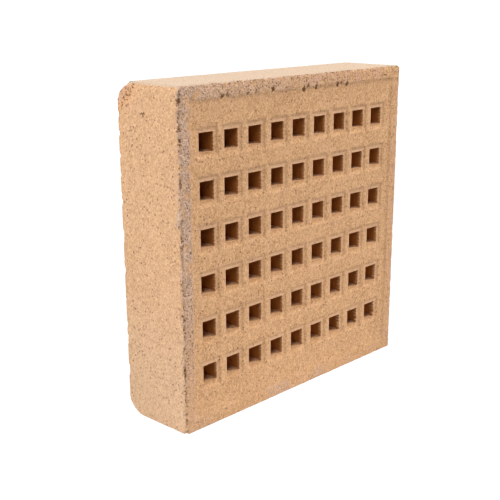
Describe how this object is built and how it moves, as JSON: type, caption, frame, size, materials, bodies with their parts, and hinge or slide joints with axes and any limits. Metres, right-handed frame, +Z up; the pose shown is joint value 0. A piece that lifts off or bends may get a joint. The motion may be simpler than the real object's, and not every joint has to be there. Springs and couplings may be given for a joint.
{
  "type": "clay air brick",
  "caption": "Square buff clay air brick with rows of square through holes, a raised front rim and rounded rear edges.",
  "frame": {"origin": "centre of the bounding box's bottom face, under the middle of the brick on the surface it stands on", "axes": "+Z up, +X along the width, +Y from the front face with the raised rim to the back face"},
  "size_m": [0.215, 0.056, 0.215],
  "materials": {
    "buff_clay": "matt fired clay with a sandy grain, dark specks and worn edges"
  },
  "bodies": {
    "root": {"air_brick": "buff_clay"}
  },
  "joints": []
}
